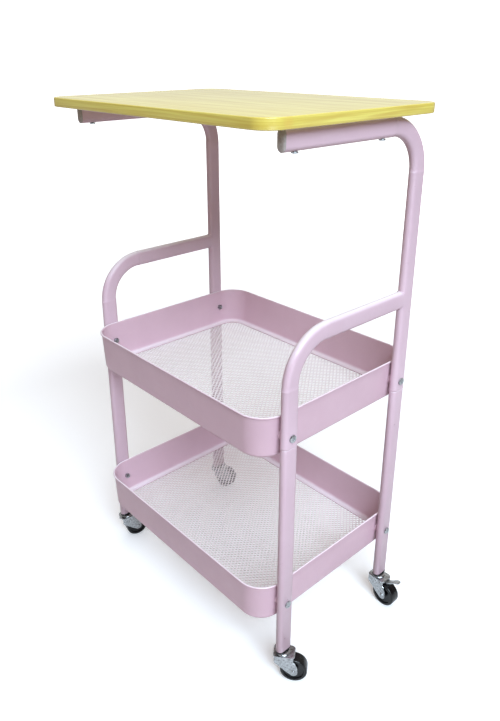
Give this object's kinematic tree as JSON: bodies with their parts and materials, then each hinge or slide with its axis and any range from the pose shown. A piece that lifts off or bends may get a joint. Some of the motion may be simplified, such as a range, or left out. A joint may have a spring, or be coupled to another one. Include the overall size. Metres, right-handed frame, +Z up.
{
  "type": "manicure table",
  "caption": "Rolling manicure trolley table: a wooden worktop on two bent oval-tube side frames, with open mesh-floored baskets between them and small swivel casters.",
  "frame": {"origin": "on the floor, at the centre of the bounding box at rest, which is 11.6 mm right of and 10 mm in front of the middle of the baskets", "axes": "+X to the right along the baskets' long walls, +Y from the open front to the tall rear posts, +Z up"},
  "size_m": [0.4732, 0.33, 0.8],
  "materials": {
    "pink_powder_coat": "satin powder coat on steel tube",
    "basket_coat": "satin powder coat on pressed sheet",
    "mesh_coat": "satin powder coat on expanded mesh",
    "pine_board": "clear-coated pale yellow wood",
    "zinc_plate": "bright zinc plating",
    "black_nylon": "moulded nylon",
    "grey_plug": "moulded plastic"
  },
  "bodies": {
    "frame": {"worktop": "pine_board", "rear_post_right": "pink_powder_coat", "side_handle_right": "pink_powder_coat", "tube_end_plug_right": "grey_plug", "worktop_screw_front_right": "zinc_plate", "worktop_screw_rear_right": "zinc_plate", "rear_post_left": "pink_powder_coat", "side_handle_left": "pink_powder_coat", "tube_end_plug_left": "grey_plug", "worktop_screw_front_left": "zinc_plate", "worktop_screw_rear_left": "zinc_plate", "upper_basket": "basket_coat", "upper_mesh_floor": "mesh_coat", "basket_bolt_upper_front_right": "zinc_plate", "basket_nut_upper_front_right": "zinc_plate", "basket_bolt_upper_front_left": "zinc_plate", "basket_nut_upper_front_left": "zinc_plate", "basket_bolt_upper_rear_right": "zinc_plate", "basket_nut_upper_rear_right": "zinc_plate", "basket_bolt_upper_rear_left": "zinc_plate", "basket_nut_upper_rear_left": "zinc_plate", "lower_basket": "basket_coat", "lower_mesh_floor": "mesh_coat", "basket_bolt_lower_front_right": "zinc_plate", "basket_nut_lower_front_right": "zinc_plate", "basket_bolt_lower_front_left": "zinc_plate", "basket_nut_lower_front_left": "zinc_plate", "basket_bolt_lower_rear_right": "zinc_plate", "basket_nut_lower_rear_right": "zinc_plate", "basket_bolt_lower_rear_left": "zinc_plate", "basket_nut_lower_rear_left": "zinc_plate", "lower_leg_front_right": "pink_powder_coat", "leg_insert_front_right": "black_nylon", "caster_stem_front_right": "zinc_plate", "lower_leg_rear_right": "pink_powder_coat", "leg_insert_rear_right": "black_nylon", "caster_stem_rear_right": "zinc_plate", "lower_leg_front_left": "pink_powder_coat", "leg_insert_front_left": "black_nylon", "caster_stem_front_left": "zinc_plate", "lower_leg_rear_left": "pink_powder_coat", "leg_insert_rear_left": "black_nylon", "caster_stem_rear_left": "zinc_plate"},
    "swivel_front_right": {"caster_fork_front_right": "zinc_plate", "wheel_axle_front_right": "zinc_plate"},
    "wheel_front_right": {"caster_wheel_front_right": "black_nylon"},
    "swivel_rear_right": {"caster_fork_rear_right": "zinc_plate", "wheel_axle_rear_right": "zinc_plate", "brake_pin_rear_right": "zinc_plate"},
    "wheel_rear_right": {"caster_wheel_rear_right": "black_nylon"},
    "brake_rear_right": {"brake_lever_rear_right": "zinc_plate"},
    "swivel_front_left": {"caster_fork_front_left": "zinc_plate", "wheel_axle_front_left": "zinc_plate", "brake_pin_front_left": "zinc_plate"},
    "wheel_front_left": {"caster_wheel_front_left": "black_nylon"},
    "brake_front_left": {"brake_lever_front_left": "zinc_plate"},
    "swivel_rear_left": {"caster_fork_rear_left": "zinc_plate", "wheel_axle_rear_left": "zinc_plate"},
    "wheel_rear_left": {"caster_wheel_rear_left": "black_nylon"}
  },
  "joints": [
    {"name": "swivel_turn_front_right", "type": "hinge", "parent": "frame", "child": "swivel_front_right", "pos_m": [0.19505, -0.1035, 0.045], "axis": [0, 0, 1], "continuous": true},
    {"name": "wheel_spin_front_right", "type": "hinge", "parent": "swivel_front_right", "child": "wheel_front_right", "pos_m": [0.20805, -0.09334, 0.02], "axis": [-0.6157, 0.788, 0], "continuous": true},
    {"name": "swivel_turn_rear_right", "type": "hinge", "parent": "frame", "child": "swivel_rear_right", "pos_m": [0.19505, 0.1235, 0.045], "axis": [0, 0, 1], "continuous": true},
    {"name": "wheel_spin_rear_right", "type": "hinge", "parent": "swivel_rear_right", "child": "wheel_rear_right", "pos_m": [0.21155, 0.1235, 0.02], "axis": [0, 1, 0], "continuous": true},
    {"name": "brake_press_rear_right", "type": "hinge", "parent": "swivel_rear_right", "child": "brake_rear_right", "pos_m": [0.20655, 0.1235, 0.0423], "axis": [0, 1, 0], "range_deg": [0, 8]},
    {"name": "swivel_turn_front_left", "type": "hinge", "parent": "frame", "child": "swivel_front_left", "pos_m": [-0.21815, -0.1035, 0.045], "axis": [0, 0, 1], "continuous": true},
    {"name": "wheel_spin_front_left", "type": "hinge", "parent": "swivel_front_left", "child": "wheel_front_left", "pos_m": [-0.21528, -0.08725, 0.02], "axis": [-0.9848, 0.1736, 0], "continuous": true},
    {"name": "brake_press_front_left", "type": "hinge", "parent": "swivel_front_left", "child": "brake_front_left", "pos_m": [-0.21615, -0.09217, 0.0423], "axis": [-0.9848, 0.1736, 0], "range_deg": [0, 8]},
    {"name": "swivel_turn_rear_left", "type": "hinge", "parent": "frame", "child": "swivel_rear_left", "pos_m": [-0.21815, 0.1235, 0.045], "axis": [0, 0, 1], "continuous": true},
    {"name": "wheel_spin_rear_left", "type": "hinge", "parent": "swivel_rear_left", "child": "wheel_rear_left", "pos_m": [-0.21197, 0.1388, 0.02], "axis": [-0.9272, 0.3746, 0], "continuous": true}
  ]
}
